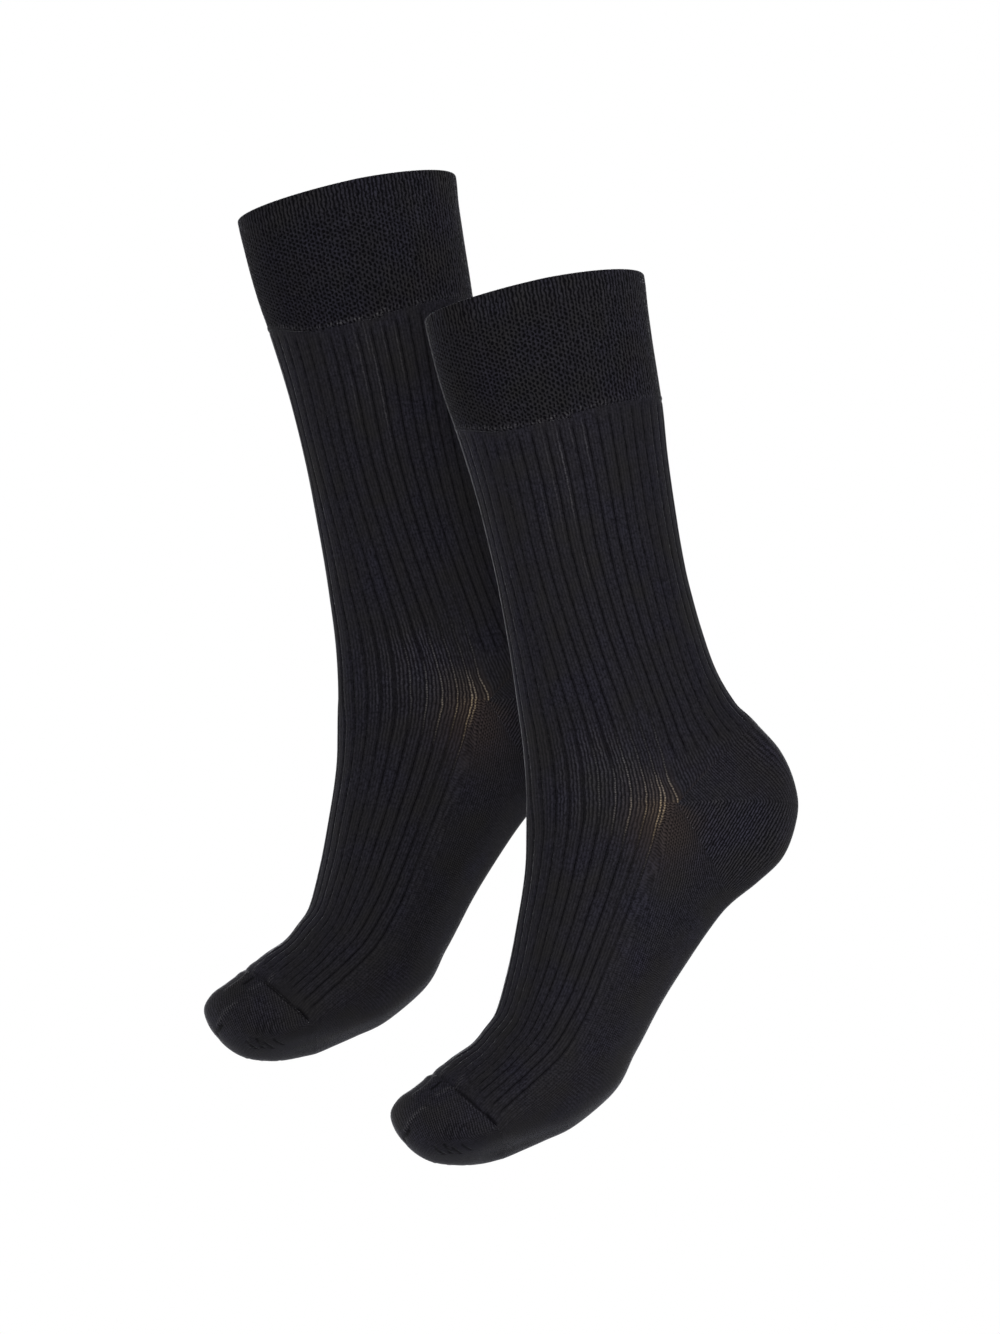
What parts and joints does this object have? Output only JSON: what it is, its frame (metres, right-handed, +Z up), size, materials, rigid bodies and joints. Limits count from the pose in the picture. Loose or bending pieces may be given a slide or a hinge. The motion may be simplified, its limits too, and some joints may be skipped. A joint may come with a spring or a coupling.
{
  "type": "pair of ribbed crew socks",
  "caption": "Pair of ribbed crew socks with deep plain cuffs, filled out as worn, hollow and open at the top, toes pointing down.",
  "frame": {"origin": "middle of the near sock's cuff opening, where the wearer's leg holds it up", "axes": "+X from the toes towards the heels, +Y from the near sock towards the far one, +Z up"},
  "size_m": [0.2795, 0.203, 0.4895],
  "materials": {
    "cuff_knit": "matt black close elastic knit",
    "rib_knit": "matt black fine rib knit",
    "plain_knit": "matt black plain knit"
  },
  "bodies": {
    "root": {"near_cuff": "cuff_knit", "near_leg": "rib_knit", "near_heel": "plain_knit", "near_foot": "rib_knit", "near_toe": "plain_knit", "far_cuff": "cuff_knit", "far_leg": "rib_knit", "far_heel": "plain_knit", "far_foot": "rib_knit", "far_toe": "plain_knit"}
  },
  "joints": []
}
